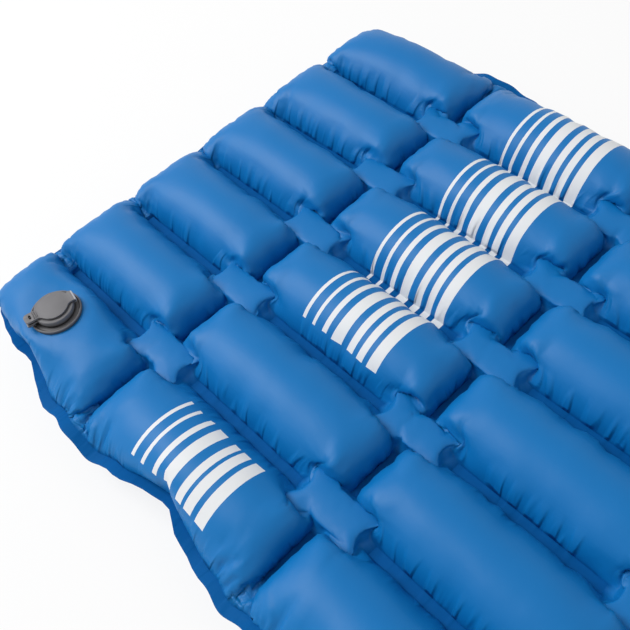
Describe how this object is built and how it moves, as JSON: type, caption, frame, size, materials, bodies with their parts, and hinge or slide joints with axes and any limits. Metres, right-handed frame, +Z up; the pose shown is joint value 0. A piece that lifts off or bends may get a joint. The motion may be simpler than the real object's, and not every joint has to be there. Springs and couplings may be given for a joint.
{
  "type": "air mattress",
  "caption": "Inflatable sleeping pad of two welded sheets with rows of air chambers and a two-stage flat valve in one corner.",
  "frame": {"origin": "on the ground under the middle of the pad", "axes": "+Z up, +Y along the length towards the head end with the valve, +X across the width"},
  "size_m": [0.508, 1.894, 0.0713],
  "materials": {
    "sheet_fabric": "satin coated weave",
    "valve_moulding": "fine matte",
    "flap_silicone": "matte translucent"
  },
  "bodies": {
    "pad": {"top_sheet": "sheet_fabric", "bottom_sheet": "sheet_fabric", "valve_base": "valve_moulding", "plug_strap": "valve_moulding"},
    "plug": {"deflation_plug": "valve_moulding", "flap_seat": "valve_moulding", "cap_strap": "valve_moulding"},
    "flap": {"check_flap": "flap_silicone"},
    "cap": {"inflation_cap": "valve_moulding"}
  },
  "joints": [
    {"name": "plug_hinge", "type": "hinge", "parent": "pad", "child": "plug", "pos_m": [-0.23057, 0.86348, 0.066], "axis": [-0.1908, -0.9816, 0], "range_deg": [0, 150]},
    {"name": "cap_hinge", "type": "hinge", "parent": "plug", "child": "cap", "pos_m": [-0.19022, 0.85564, 0.0689], "axis": [0.1908, 0.9816, 0], "range_deg": [0, 165]},
    {"name": "flap_travel", "type": "slide", "parent": "plug", "child": "flap", "axis": [0, 0, -1], "range_m": [0, 0.0015], "stiffness_N_per_m": 20}
  ]
}
